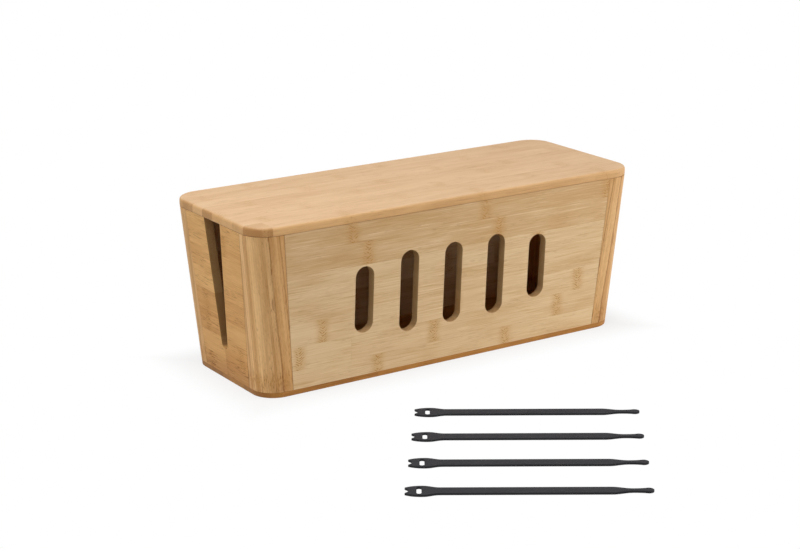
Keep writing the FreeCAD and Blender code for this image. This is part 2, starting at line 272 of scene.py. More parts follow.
bm = bmesh.new()
bmesh.ops.create_grid(bm, x_segments=1, y_segments=1, size=FLOOR_SIZE / 2)
bmesh.ops.translate(bm, vec=(0, 0, -FLOOR_DROP), verts=bm.verts)
floor_mesh = bpy.data.meshes.new("floor")
bm.to_mesh(floor_mesh)
bm.free()
floor_mesh.materials.append(floor_finish.material)
floor = bpy.data.objects.new("floor", floor_mesh)
bpy.context.collection.objects.link(floor)
print("floor glow at the box:", GLOW_AT_THE_BOX)

# %% World and lamps
LIGHT_FROM_ALL_ROUND = 0.12
BOX_MIDDLE = Vector((0, 0, 0.08))

world = bpy.data.worlds.new("studio")
bpy.context.scene.world = world
world.use_nodes = True
sky = Graph(world.node_tree)
background = world.node_tree.nodes["Background"]
sky_strength = sky.seen_directly() * (1 - LIGHT_FROM_ALL_ROUND) + LIGHT_FROM_ALL_ROUND
sky.give(background.inputs["Color"], WHITE)
sky.give(background.inputs["Strength"], sky_strength)
bpy.context.scene.view_settings.view_transform = "Standard"


def soft_lamp(name, place, size, power):
    """Square area lamp that shines on the middle of the box."""
    lamp = bpy.data.objects.new(name, bpy.data.lights.new(name, "AREA"))
    bpy.context.collection.objects.link(lamp)
    lamp.data.size = size
    lamp.data.energy = power
    lamp.location = place
    lamp.rotation_mode = "QUATERNION"
    lamp.rotation_quaternion = (BOX_MIDDLE - lamp.location).to_track_quat("-Z", "Y")
    print(name, power, "W")


soft_lamp("top_lamp", Vector((-0.6, -0.3, 1.4)), 1.2, 15)
soft_lamp("front_lamp", Vector((1.4, -0.9, 0.45)), 1.0, 17)
soft_lamp("left_lamp", Vector((-2.0, 0.9, 1.1)), 1.2, 8.5)

# %% [markdown]
# ## Lay-out of the walls
# The walls lean outwards like those of a tray: what stands 156 mm above the floor lies 12 mm further
# out at the ends and 11 mm further out at the front than at the floor. Each board is therefore built
# upright with its outer face on one plane, and a shear then leans it. A shear keeps the level edges
# level, as they are when boards are cut to lie flat on a base.

# %% Sizes that the pieces share
WALL_TOP = 156 * MM
WALL_FOOT = 5 * MM
WALL = 9 * MM
HALF_LENGTH = 202.6 * MM
HALF_DEPTH = 69.6 * MM
LENGTH_SPREAD = 11.9 / 156
DEPTH_SPREAD = 10.9 / 156
POST_FRONT_LEG = 30 * MM
POST_END_LEG = 28.5 * MM
CORNER_RADIUS = 22.5 * MM
ALONG_X = (1, 0, 0)
ALONG_Y = (0, 1, 0)
UP = (0, 0, 1)


def half_length(z):
    """Half the box's length at a height."""
    return HALF_LENGTH + LENGTH_SPREAD * z


def half_depth(z):
    """Half the box's depth at a height."""
    return HALF_DEPTH + DEPTH_SPREAD * z


print("length at the floor and under the lid:", 2 * half_length(0), 2 * half_length(WALL_TOP))

# %% [markdown]
# ## Tools for boards
# A board starts as a box, or as one flat face that is extruded to its thickness. Its sharp edges are
# then bevelled with round profiles: real edges are sanded, and only a rounded edge catches a line of
# light. The edges to round are picked by a small function that says which ones are wanted.

# %% Starting a board
def box_between(low, high):
    """A box between its lowest and its highest corner."""
    bm = bmesh.new()
    bmesh.ops.create_cube(bm, size=1)
    bmesh.ops.scale(bm, vec=high - low, verts=bm.verts)
    bmesh.ops.translate(bm, vec=(low + high) / 2, verts=bm.verts)
    return bm


def face_of(bm, corners):
    """One face through a few corners."""
    bm.faces.new([bm.verts.new(corner) for corner in corners])


def thicken(bm, shift):
    """Extrudes everything that is there by a vector."""
    made = bmesh.ops.extrude_face_region(bm, geom=bm.faces[:])
    moved = [item for item in made["geom"] if isinstance(item, bmesh.types.BMVert)]
    bmesh.ops.translate(bm, verts=moved, vec=shift)
    bmesh.ops.recalc_face_normals(bm, faces=bm.faces)


def lean(bm, x_spread, y_spread):
    """Shears everything along X and Y by a share of its height."""
    shear = Matrix.Identity(4)
    shear[0][2] = x_spread
    shear[1][2] = y_spread
    bmesh.ops.transform(bm, matrix=shear, verts=bm.verts)


print("the walls lean by", round(LENGTH_SPREAD, 4), "at the ends and", round(DEPTH_SPREAD, 4), "in front")

# %% Picking and rounding edges
SHARP = math.radians(30)
ALIKE = 0.9
FIT = 0.01 * MM


def sharp_edges(bm, wanted=lambda edge: True):
    """Edges between two faces that meet at more than a soft angle."""
    return [edge for edge in bm.edges if edge.calc_face_angle(0) > SHARP and wanted(edge)]


def direction(edge):
    """Unit vector along an edge."""
    return (edge.verts[1].co - edge.verts[0].co).normalized()


def upright(edge):
    """Whether an edge stands, even if it leans a little."""
    return abs(direction(edge).z) > ALIKE


def level_at(z):
    """Picks level edges at a height."""
    return lambda edge: all(abs(vert.co.z - z) < FIT for vert in edge.verts)


def round_edges(bm, edges, radius, segments, clamp=True):
    """Bevels edges with a round profile. A clamp keeps it clear of other corners nearby."""
    bmesh.ops.bevel(
        bm,
        geom=edges,
        offset=radius,
        offset_type="OFFSET",
        segments=segments,
        profile=0.5,
        affect="EDGES",
        clamp_overlap=clamp,
        loop_slide=clamp,
        material=-1,
    )


print("edges count as sharp above", round(math.degrees(SHARP)), "degrees")

# %% [markdown]
# ## Finished pieces
# A finished piece stands for the CAD node of its name and moves with that node's body. Smooth shading
# alone would make the big faces look bulged, so a weighted normal modifier keeps them flat while the
# small round ones blend into them. Edges that no bevel has rounded, as on a tongue, stay sharp.

# %% Finished pieces
UNROUNDED = math.radians(60)
DOUBLES = 0.004 * MM
FLATNESS = 50


def place(bm, name, body, material, slot):
    """Makes a finished piece that stands for the CAD node of its name and rides on its body."""
    bmesh.ops.remove_doubles(bm, verts=bm.verts, dist=DOUBLES)
    bmesh.ops.recalc_face_normals(bm, faces=bm.faces)
    for face in bm.faces:
        face.smooth = True
    for edge in bm.edges:
        edge.smooth = edge.calc_face_angle(0) < UNROUNDED
    mesh = bpy.data.meshes.new(name + "_fine")
    bm.to_mesh(mesh)
    bm.free()
    mesh.materials.append(material)
    piece = bpy.data.objects.new(name + "_fine", mesh)
    bpy.context.collection.objects.link(piece)
    weighting = piece.modifiers.new("flat_faces", "WEIGHTED_NORMAL")
    weighting.mode = "FACE_AREA"
    weighting.weight = FLATNESS
    weighting.keep_sharp = True
    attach(piece, body)
    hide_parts(name)
    print(f"{piece.name}: {len(mesh.polygons)} faces")


print("edges keener than", round(math.degrees(UNROUNDED)), "degrees are shaded as sharp")

# %% [markdown]
# ## Laminated bamboo
# Bamboo boards are glued up from planed strips a little over 20 mm wide. Each strip has its own
# tone, with hairlines a little paler and darker in it and fine brown pores along it. Every 150 mm or
# so it has the golden mark of a node, where the cane was jointed: a stack of short slanting dashes
# that looks like an ear of wheat. A picture of wood laid on the boards would repeat and stretch, so
# the pattern is computed in the solid: it wraps round edges and shows end grain as real wood does.
# All sizes are in millimetres: along the grain, over the strips and into the board.

# %% Colours and sizes of bamboo
PALE = colour(232, 196, 148)
DEEP = colour(204, 156, 98)
BROWN = colour(146, 88, 34)
# Painted shade: colours of rims and sides, darker and more orange than the broad faces.
SHADED_RIM_PALE = colour(226, 176, 114)
SHADED_RIM_DEEP = colour(182, 128, 68)
# Brown of cut ends, and painted shade where it is mixed in strongly, as on slot and notch walls.
END_GRAIN_AND_SHADE_BROWN = colour(118, 97, 66)
MARK_GOLD = colour(200, 143, 66)
BLACK = (0, 0, 0, 1)
CLOUD_SIZE = (70, 14, 14)
BAND_SIZE = (55, 1.1, 1.1)
FIBRE_SIZE = (22, 0.5, 0.5)
HAIR_SIZE = (34, 0.9, 0.9)
PORE_SIZE = (9, 0.85, 0.85)
NODE_SPACING = 147
DASH_SPACING = 2.5
print("a node every", NODE_SPACING, "mm, with a dash every", DASH_SPACING, "mm")

# %% [markdown]
# ### The table of strips
# A colour ramp in constant steps serves as a table with one row per strip: its tone, where its node
# marks lie, where it is butt-jointed to another piece of cane, and that piece's tone. What belongs to
# one piece of cane only is read at a place shifted far away for each, so that no two look alike.

# %% Strips of a board
STRIP_SHIFT = 290
PIECE_SHIFT = 150


def read_strips(wood, spot, first, width, length, strips):
    """Strip number, tone, place of the node marks, the piece's own spot, and the glue lines."""
    u, v, w = spot
    wander = wood.mottle(spot, (90, 400, 400), detail=1)
    strip_place = (v - first) / width + (wander - 0.5) * 0.12
    strip = strip_place.floor()

    stops = [(index / len(strips), row) for index, row in enumerate(strips)]
    table = wood.add("ShaderNodeValToRGB", {"stops": stops}, {"Fac": (strip + 0.5) / len(strips)})
    channels = wood.add("ShaderNodeSeparateColor", None, {"Color": table.outputs["Color"]})
    tone, mark_place, joint_place = [Reading(wood, socket) for socket in channels.outputs]
    tone_beyond = Reading(wood, table.outputs["Alpha"])

    past_joint = u / length + 0.5 - joint_place
    beyond = past_joint.above(-0.0005, 0.0005)
    tone = tone + (tone_beyond - tone) * beyond
    own_spot = (u, v + strip * STRIP_SHIFT + beyond * PIECE_SHIFT, w)

    off_middle = abs(strip_place - strip - 0.5)
    long_line = off_middle.above(0.5 - 0.5 / width, 0.5 - 0.1 / width)
    butt_line = 1 - abs(past_joint).above(0.2 / length, 0.5 / length)
    return strip, tone, mark_place, own_spot, wood.maths("MAXIMUM", long_line, butt_line)


print("a strip is read", STRIP_SHIFT, "mm away from the next one")

# %% [markdown]
# ### Grain, node marks and pores
# Grain is noise that is stretched along the strip: wide clouds, bands, fibres and sharp hairlines add
# up. A node mark is a row of dashes, a sine over the strip, that shows only near the node. Its edge is
# bent and ragged, and part of its dashes are missing. Pores are short dashes, denser round a node.

# %% Grain
def read_grain(wood, own_spot, band_size, hairiness):
    """What the grain adds to a strip's tone, its bands and its fibres."""
    clouds = wood.mottle(own_spot, CLOUD_SIZE)
    bands = wood.mottle(own_spot, band_size, roughness=0.6)
    fibres = wood.mottle(own_spot, FIBRE_SIZE, roughness=0.6)
    hairs = wood.mottle(own_spot, HAIR_SIZE, detail=1)
    pale_and_dark_hairs = 1 - hairs.above(0.31, 0.38) - hairs.above(0.62, 0.69)
    grain = (clouds - 0.5) * 0.7 + (bands - 0.5) * 0.45 + (fibres - 0.5) * 0.4
    return grain + pale_and_dark_hairs * hairiness, bands, fibres


def read_node_marks(wood, own_spot, strip, mark_place, slant):
    """The dashes of the node marks and the glow round them."""
    u, own, w = own_spot
    nodes_away = u / NODE_SPACING - mark_place
    bend = (wood.mottle((own, w, strip), (7, 7, 1), detail=1) - 0.5) * 5
    reach = abs((nodes_away - (nodes_away + 0.5).floor()) * NODE_SPACING + bend)
    ragged = (wood.mottle(own_spot, (3, 3, 3), detail=1) - 0.5) * 6
    near_node = 1 - (reach + ragged).above(1.5, 6.5)
    uneven = wood.mottle(own_spot, (7, 3, 3), detail=1) * 1.5
    rows = wood.maths("SINE", (own - reach * slant + uneven) * (2 * math.pi / DASH_SPACING))
    patches = wood.mottle(own_spot, (3, 2, 3), detail=1).above(0.4, 0.6)
    return near_node * rows.above(-0.2, 0.9) * patches, 1 - reach.above(2, 11)


def read_pores(wood, own_spot, node_glow):
    """Short brown dashes."""
    density = wood.mottle(own_spot, (40, 9, 9), detail=1) + node_glow * 0.15
    return wood.mottle(own_spot, PORE_SIZE, detail=1).above(0.54, 0.66) * density.above(0.36, 0.62)


print("pores are about", PORE_SIZE[0], "mm long")

# %% [markdown]
# ### Stains
# Two kinds of dark line aren't the same on all boards. Where a panel meets a post, glue has drawn a
# thin line. And some strips of the posts have a long dark vein, which wanders and swells at a knot.

# %% Glue lines and veins
VEIN_CORE = 0.34
VEIN_SHADOW = 0.3


def glued_end(wood, u, half, spread):
    """A line at both ends of a panel, whose half length at the floor grows by a share of the height."""
    from_middle = abs(u) - wood.measure((0, 0, spread))
    return from_middle.above(half - 0.9, half - 0.3) - from_middle.above(half + 0.1, half + 0.4)


def vein(wood, spot, vein_place, knot, depth):
    """A thin dark core and a wide soft shadow along it."""
    u, v, w = spot
    waves = (wood.mottle((u, w, w), (34, 400, 400)) - 0.5) * 12 * depth
    near_knot = 1 - abs(u - knot).above(1, 10)
    off_vein = abs(v - vein_place + waves + near_knot * 1.5)
    core = 1 - (off_vein - near_knot * 1.5).above(0.1, 1.5)
    shadow = 1 - off_vein.above(0.5, 5)
    return core * VEIN_CORE + shadow * depth * VEIN_SHADOW


print("a vein's core is", VEIN_CORE, "dark")

# %% [markdown]
# ### The finish of a board
# The strip's tone and grain choose between a pale and a deep colour. Rims and sides are painted
# darker and more orange, as painted shade, and cut ends browner, more so on the walls of slots and
# notches, where the stronger brown is painted shade. Node marks are golden. A board can also be
# painted darker towards its start and at its foot, as painted shade, and at last all dark things
# together stain the wood, the painted shade at the foot among them. The lacquer is satin: it has a
# thin coat and a fairly high roughness, since the photograph shows no clear reflection. What a board
# doesn't say for itself is as it usually is.

# %% Bamboo
# Of these, the rim and the darkening towards the start paint shade into the colour, and so does a strong
# end_grain brown.
USUAL = {
    "hairs": 0.3,
    "pores": 0.26,
    "streaks": 0.08,
    "joints": 0.15,
    "marks": 1,
    "slant": 0.7,
    "band_size": BAND_SIZE,
    "rim": 0.5,
    "end_grain": (1, 0.2),
    "darker_start": 0,
    "veins": (),
}
SEALED = {"Specular IOR Level": 0.3, "Coat Weight": 0.05, "Coat Roughness": 0.4}


def bamboo(name, along, across, through, first, width, length, strips, pale=PALE, deep=DEEP, **special):
    """Finish of laminated bamboo.

    along, across and through are directions: with the grain, over the strips, into the board.
    first is where the first strip starts and width how wide each is, in millimetres.
    length is the board's length about its middle, and each strip is a row of four shares:
    tone, place of its node marks between two nodes, place of its butt joint and the tone beyond that.
    special holds what differs from the usual board. Numbers: how strong hairs, pores, streaks, joints,
    marks, the painted shade of the rim, the painted shade towards the start of the grain and the
    painted shade at the foot are, and the slant of the marks' dashes. Groups: band_size of the
    streaks, end_grain with the contrast and the brown of cut ends, which is painted shade where it is
    strong, ends with the place of the glued ends and their spread, and veins with a row for each.
    """
    look = USUAL | special
    wood = Finish(name)
    spot = [wood.measure(axis) for axis in (along, across, through)]
    strip, tone, mark_place, own_spot, lines = read_strips(wood, spot, first, width, length, strips)
    grain, bands, fibres = read_grain(wood, own_spot, look["band_size"], look["hairs"])
    dashes, node_glow = read_node_marks(wood, own_spot, strip, mark_place, look["slant"])
    pores = read_pores(wood, own_spot, node_glow)

    end_grain = wood.faces(along).above(0.5, 0.9)
    rim = 1 - wood.faces(through).above(0.45, 0.98)
    end_contrast, end_brown_and_shade = look["end_grain"]
    shade = (tone + grain + end_grain * (tone - 0.6) * end_contrast).above(0, 1)
    board = wood.blend(shade, deep, pale)
    # Painted shade: rims and sides, which turn from the light, are painted darker and more orange.
    board = wood.blend(rim * look["rim"], board, wood.blend(shade, SHADED_RIM_DEEP, SHADED_RIM_PALE))
    # Cut ends are browner, as end grain is; the stronger brown on slot and notch walls is painted shade.
    board = wood.blend(end_grain * end_brown_and_shade, board, END_GRAIN_AND_SHADE_BROWN)
    board = wood.blend((node_glow * 0.25 + dashes * 0.6) * look["marks"], board, MARK_GOLD)
    # Painted shade: a neutral darkening towards the start of the board's grain, where less light falls.
    board = wood.blend((0.5 - spot[0] / length) * look["darker_start"], board, BLACK, "MULTIPLY")

    streaks = bands.above(0.56, 0.72)
    seen_lines = lines * wood.mottle((strip, strip, strip), (0.37, 0.37, 0.37), detail=0).above(0.4, 0.6)
    dark = pores * look["pores"] + streaks * look["streaks"]
    dark = dark + dashes * 0.18 * look["marks"] + seen_lines * look["joints"]
    if "ends" in look:
        dark = dark + glued_end(wood, spot[0], *look["ends"]) * 0.3
    for row in look["veins"]:
        dark = dark + vein(wood, spot, *row)
    # Painted shade: the wood is painted darker towards the floor, at the shaded foot of the box.
    if "foot" in look:
        dark = dark + (1 - wood.measure(UP).above(4, 40)) * look["foot"]
    stained_and_shaded = wood.blend(dark.above(0, 1), board, BROWN)

    roughness = (fibres - 0.5) * 0.2 + dark * 0.15 + 0.55
    height = fibres * 0.35 - pores * 0.3 - lines * 0.8
    wood.dress(stained_and_shaded, roughness, height, 0.35, 0.12 * MM)
    for socket, value in SEALED.items():
        wood.shader.inputs[socket].default_value = value
    print(f"{name}: {len(strips)} strips of {width} mm, {len(wood.tree.nodes)} nodes")
    return wood.material


# %% [markdown]
# ### Unseen boards
# The photograph doesn't show the strips of some boards. Theirs are drawn by chance from a seed, so that
# every run gives the same boards.

# %% Strips of unseen boards
def random_strips(count, seed, low=0.35, high=0.75):
    """Rows for strips that the photograph doesn't show."""
    chance = random.Random(seed)
    return [
        (chance.uniform(low, high), chance.uniform(0.1, 0.9), chance.uniform(0, 1), chance.uniform(low, high))
        for _ in range(count)
    ]


print("a first unseen strip:", [round(share, 2) for share in random_strips(1, 5)[0]])

# %% [markdown]
# ## Lid
# The lid is a flat board with round corners and a rounded upper rim, which lies on the walls and
# stands half a millimetre proud of them all round. A square with rounded corners could be drawn as a
# curve, but a box whose edges are bevelled in three steps keeps the corners exact and the shading
# clean: first the four upright edges, then the upper rim, then the smaller lower one. Its strips run
# along the box, and their tones and node marks follow the photograph.

# %% Lid
LID_LOW, LID_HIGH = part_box("lid")
LID_CORNER_RADIUS = 24 * MM
LID_RIM = 3 * MM
LID_UNDER_RIM = 1.3 * MM

bm = box_between(LID_LOW, LID_HIGH)
round_edges(bm, sharp_edges(bm, upright), LID_CORNER_RADIUS, 20)
round_edges(bm, sharp_edges(bm, level_at(LID_HIGH.z)), LID_RIM, 6)
round_edges(bm, sharp_edges(bm, level_at(LID_LOW.z)), LID_UNDER_RIM, 3)
lid_strips = [
    (0.30, 0.20, 0.045, 0.62),
    (0.60, 0.72, 1, 0.6),
    (0.66, 0.10, 1, 0.6),
    (0.64, 0.55, 1, 0.6),
    (0.53, 0.83, 1, 0.6),
    (0.70, 0.32, 1, 0.6),
    (0.56, 0.66, 1, 0.6),
    (0.60, 0.06, 1, 0.6),
    (0.62, 0.45, 1, 0.6),
]
# Painted shade: the lid's rims and sides are painted darker and more orange than its top.
lid_bamboo = bamboo(
    "bamboo_lid", ALONG_X, ALONG_Y, UP, -79, 19.3, 430, lid_strips,
    pale=colour(242, 203, 158), deep=colour(217, 170, 120),
    rim=0.85, marks=0.4, joints=0.06, end_grain=(4, 0.08), hairs=0.2,
)
place(bm, "lid", "lid", lid_bamboo, "bamboo_lid")

# %% [markdown]
# ## Battens under the lid
# Two battens across the underside drop in between the front and the back wall, so the lid can't
# slide. They are planed strips with bevelled lower corners, glued on.

# %% Battens
BATTEN_BEVEL = 3 * MM
BATTEN_EDGE = 0.4 * MM

for hand in ("right", "left"):
    low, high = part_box(f"lid_cleat_{hand}")
    bm = box_between(low, high)
    lower = sharp_edges(bm, level_at(low.z))
    bmesh.ops.bevel(
        bm, geom=lower, offset=BATTEN_BEVEL, segments=1, profile=0.5, affect="EDGES", material=-1
    )
    round_edges(bm, sharp_edges(bm, lambda edge: not level_at(high.z)(edge)), BATTEN_EDGE, 2)
    middle = (low.x + high.x) / 2 / MM
    batten_strips = random_strips(3, middle)
    batten_bamboo = bamboo(
        f"bamboo_batten_{hand}", ALONG_Y, ALONG_X, UP, middle - 10.5, 7, 150, batten_strips
    )
    place(bm, f"lid_cleat_{hand}", "lid", batten_bamboo, "bamboo_cleat")

# %% [markdown]
# ## Base board
# The walls stand on a thin base board, flush with the posts, whose reddish edge shows as a line all
# round the foot of the box. It is a box with four bevelled corners that leans as the walls do, so
# its upper outline is scaled up before the rims are softened.

# %% Base board
BASE_FOOT_RIM = 0.8 * MM
BASE_TOP_RIM = 0.3 * MM

foot_corner = Vector((HALF_LENGTH, HALF_DEPTH, 0))
bm = box_between(-foot_corner, foot_corner + Vector((0, 0, WALL_FOOT)))
round_edges(bm, sharp_edges(bm, upright), CORNER_RADIUS, 20)
upper = [vert for vert in bm.verts if vert.co.z > WALL_FOOT / 2]
growth = (half_length(WALL_FOOT) / HALF_LENGTH, half_depth(WALL_FOOT) / HALF_DEPTH, 1)
bmesh.ops.scale(bm, vec=growth, verts=upper)
round_edges(bm, sharp_edges(bm, level_at(0)), BASE_FOOT_RIM, 3)
round_edges(bm, sharp_edges(bm, level_at(WALL_FOOT)), BASE_TOP_RIM, 2)
base_strips = [
    (0.40, 0.72, 0.30, 0.55),
    (0.50, 0.30, 0.60, 0.40),
    (0.45, 0.60, 1, 0.4),
    (0.55, 0.20, 1, 0.4),
    (0.40, 0.50, 1, 0.4),
    (0.50, 0.80, 1, 0.4),
    (0.35, 0.40, 0.12, 0.60),
]
base_bamboo = bamboo(
    "bamboo_base", ALONG_X, ALONG_Y, UP, -72, 20.6, 406, base_strips,
    pale=colour(198, 138, 64), deep=colour(156, 100, 38), rim=0,
)
place(bm, "base_board", "box", base_bamboo, "bamboo_base")

# %% [markdown]
# ## Panels
# All four walls are built alike: upright, with the outer face on one plane and facing -Y. Then a
# shear leans them, and they are set at their distance and turned to their side of the box. Their
# outline is wider at the top, because the posts beside them lean outwards too.

# %% Panels
EDGE = 0.35 * MM


def front_side(z):
    """Half the width of the front panel at a height."""
    return half_length(z) - POST_FRONT_LEG


def end_side(z):
    """Half the width of an end panel at a height."""
    return half_depth(z) - POST_END_LEG


def panel_outline(reach):
    """Corners of a panel's outer face before it leans, its half width given by its height."""
    low, high = reach(WALL_FOOT), reach(WALL_TOP)
    return [(-low, 0, WALL_FOOT), (low, 0, WALL_FOOT), (high, 0, WALL_TOP), (-high, 0, WALL_TOP)]


def stand(bm, foot, spread, quarter_turns):
    """Leans a board that faces -Y outwards, sets it at its distance and turns it to its side of the box."""
    lean(bm, 0, -spread)
    bmesh.ops.translate(bm, vec=(0, -foot, 0), verts=bm.verts)
    to_its_side = Matrix.Rotation(quarter_turns * math.pi / 2, 3, "Z")
    bmesh.ops.rotate(bm, verts=bm.verts, cent=(0, 0, 0), matrix=to_its_side)


print("front panel at its foot:", 2 * front_side(WALL_FOOT), "end panel:", 2 * end_side(WALL_FOOT))

# %% [markdown]
# ## Tongues and grooves
# Each panel has a tongue along both upright edges, which is glued into a groove of the post beside
# it. For a tongue, the end face is split at two depths behind the outer face, and its middle strip is
# pushed out. The strip's old face would stay inside the board, so it is deleted. A groove can't be
# pushed in this way, because the post's top would still cover it, so the posts' outline draws it.

# %% Tongues
TONGUE_REACH = 5 * MM
TONGUE_NEAR = 3 * MM
TONGUE_FAR = 6 * MM


def push_middle(bm, is_end, step):
    """Splits the end faces where the tongue starts and ends, and moves the strip between by a step."""
    for depth in (TONGUE_NEAR, TONGUE_FAR):
        parts = {}
        for face in filter(is_end, bm.faces):
            parts.update(dict.fromkeys([face, *face.verts, *face.edges]))
        bmesh.ops.bisect_plane(bm, geom=list(parts), plane_co=(0, depth, 0), plane_no=(0, 1, 0))
    ends = filter(is_end, bm.faces)
    strip = [face for face in ends if TONGUE_NEAR < face.calc_center_median().y < TONGUE_FAR]
    made = bmesh.ops.extrude_face_region(bm, geom=strip)
    bmesh.ops.delete(bm, geom=strip, context="FACES_ONLY")
    moved = [item for item in made["geom"] if isinstance(item, bmesh.types.BMVert)]
    bmesh.ops.translate(bm, verts=moved, vec=step)
    bmesh.ops.recalc_face_normals(bm, faces=bm.faces)


def add_tongues(bm, reach):
    """Tongues at both ends of a board that faces -Y, its half width given by its height."""
    nearest = reach(WALL_FOOT) - FIT
    for hand in (-1, 1):

        def at_end(face):
            return face.normal.x * hand > ALIKE and all(vert.co.x * hand > nearest for vert in face.verts)

        push_middle(bm, at_end, (hand * TONGUE_REACH, 0, 0))


def board_rims(bm, reach):
    """Outer edges of a board that faces -Y, without those of its tongues, which stay sharp."""

    def on_tongue(vert):
        return abs(vert.co.x) > reach(vert.co.z) - FIT and TONGUE_NEAR - FIT < vert.co.y < TONGUE_FAR + FIT

    return sharp_edges(bm, lambda edge: edge.is_convex and not all(on_tongue(vert) for vert in edge.verts))


print("tongues reach", TONGUE_REACH / MM, "mm into the posts")

# %% [markdown]
# ## Front panel
# The front panel has five upright slots with round ends, the outer two shorter. They could be cut
# with a boolean, but a face that is filled round five drawn outlines has even segments in its round
# ends, which the rounding of the rims needs. A router has rounded these more than the board's edges.

# %% Slots
SLOT_PITCH = 49.3 * MM
SLOT_WIDTH = 20 * MM
SLOT_HEIGHT = 80 * MM
SLOT_HALVES = [length / 2 * MM for length in (64.8, 80.3, 80.3, 80.3, 64.8)]
SLOT_RIM = 0.9 * MM
SLOT_SIDES = 44
SLOTS_WITHIN = 130 * MM
SLOTS_ABOVE = 30 * MM
ALMOST_FLAT = 0.01


def add_slot_outline(bm, x, half):
    """Round-ended outline: a circle whose upper half is moved up and whose lower half is moved down."""
    upright_circle = Matrix.Translation((x, 0, SLOT_HEIGHT)) @ Matrix.Rotation(math.pi / 2, 4, "X")
    turned_by_half_a_side = Matrix.Rotation(math.pi / SLOT_SIDES, 4, "Z")
    made = bmesh.ops.create_circle(
        bm, segments=SLOT_SIDES, radius=SLOT_WIDTH / 2, matrix=upright_circle @ turned_by_half_a_side
    )
    stretch = half - SLOT_WIDTH / 2
    for sign in (-1, 1):
        end = [vert for vert in made["verts"] if (vert.co.z - SLOT_HEIGHT) * sign > 0]
        bmesh.ops.translate(bm, verts=end, vec=(0, 0, sign * stretch))


def in_slots(edge):
    """Whether an edge belongs to the slots."""
    spots = [vert.co for vert in edge.verts]
    return all(abs(spot.x) < SLOTS_WITHIN and SLOTS_ABOVE < spot.z < SLOTS_WITHIN for spot in spots)


print("slots are", 2 * max(SLOT_HALVES), "and", 2 * min(SLOT_HALVES), "long")

# %% Front panel
bm = bmesh.new()
face_of(bm, panel_outline(front_side))
bmesh.ops.delete(bm, geom=bm.faces[:], context="FACES_ONLY")
for index, half in enumerate(SLOT_HALVES):
    add_slot_outline(bm, (index - 2) * SLOT_PITCH, half)
bmesh.ops.triangle_fill(bm, use_beauty=True, edges=bm.edges[:])
bmesh.ops.dissolve_limit(bm, angle_limit=ALMOST_FLAT, verts=bm.verts, edges=bm.edges)
thicken(bm, (0, WALL, 0))
round_edges(bm, sharp_edges(bm, in_slots), SLOT_RIM, 4)
bmesh.ops.recalc_face_normals(bm, faces=bm.faces)
add_tongues(bm, front_side)
round_edges(bm, [edge for edge in board_rims(bm, front_side) if not in_slots(edge)], EDGE, 2)
stand(bm, HALF_DEPTH, DEPTH_SPREAD, 0)

front_strips = [
    (0.66, 0.442, 1, 0.6),
    (0.72, 0.864, 0.2, 0.6),
    (0.66, 0.027, 1, 0.6),
    (0.58, 0.670, 1, 0.6),
    (0.64, 0.670, 1, 0.6),
    (0.42, 0.350, 1, 0.6),
    (0.34, 0.236, 1, 0.6),
]
# Painted shade: the front is painted darker towards its left end, and its slot walls browner.
front_bamboo = bamboo(
    "bamboo_front", ALONG_X, UP, (0, 1, DEPTH_SPREAD), 0.5, 22.8, 372, front_strips,
    pale=colour(242, 211, 164), deep=colour(207, 160, 103), ends=(front_side(0) / MM, LENGTH_SPREAD),
    rim=0.5, marks=1.2, darker_start=0.08, end_grain=(1, 0.5), hairs=0.24,
)
place(bm, "front_panel", "box", front_bamboo, "bamboo_panel")

# %% [markdown]
# ## Back panel
# The photograph doesn't show the back. It is the same leaning board without slots.

# %% Back panel
bm = bmesh.new()
face_of(bm, panel_outline(front_side))
thicken(bm, (0, WALL, 0))
add_tongues(bm, front_side)
round_edges(bm, board_rims(bm, front_side), EDGE, 2)
stand(bm, HALF_DEPTH, DEPTH_SPREAD, 2)
back_bamboo = bamboo(
    "bamboo_back", ALONG_X, UP, (0, 1, -DEPTH_SPREAD), 0, 21, 372, random_strips(8, 5),
    ends=(front_side(0) / MM, LENGTH_SPREAD),
)
place(bm, "back_panel", "box", back_bamboo, "bamboo_panel")

# %% [markdown]
# ## End panels
# Each end has a notch, narrow and round at its foot and open under the lid, so that the lid can be
# taken off whatever lies in it. The notch belongs to the outline of the board, so a few corners draw
# it, and the two lower ones are bevelled until their arcs meet.

# %% Notches
NOTCH_FOOT = 31.5 * MM
NOTCH_FOOT_HALF = 5.07 * MM
NOTCH_MOUTH_HALF = 15.2 * MM
NOTCH_RIM = 0.5 * MM
NOTCH_WITHIN = 20 * MM
NOTCH_FOOT_BELOW = 50 * MM
NOTCH_CORNERS = [
    (NOTCH_MOUTH_HALF, 0, WALL_TOP),
    (NOTCH_FOOT_HALF, 0, NOTCH_FOOT),
    (-NOTCH_FOOT_HALF, 0, NOTCH_FOOT),
    (-NOTCH_MOUTH_HALF, 0, WALL_TOP),
]


def in_notch(edge):
    """Whether an edge belongs to the notch."""
    return all(abs(vert.co.x) < NOTCH_WITHIN < vert.co.z for vert in edge.verts)


def at_notch_foot(edge):
    """Whether an edge of the notch runs through the board at the notch's foot."""
    return in_notch(edge) and abs(direction(edge).y) > ALIKE and edge.verts[0].co.z < NOTCH_FOOT_BELOW


def on_notch_rim(edge):
    """Whether an edge of the notch lies on the board's outer or inner face."""
    return in_notch(edge) and abs(direction(edge).y) < ALIKE


print("notches start", NOTCH_FOOT / MM, "mm above the floor")

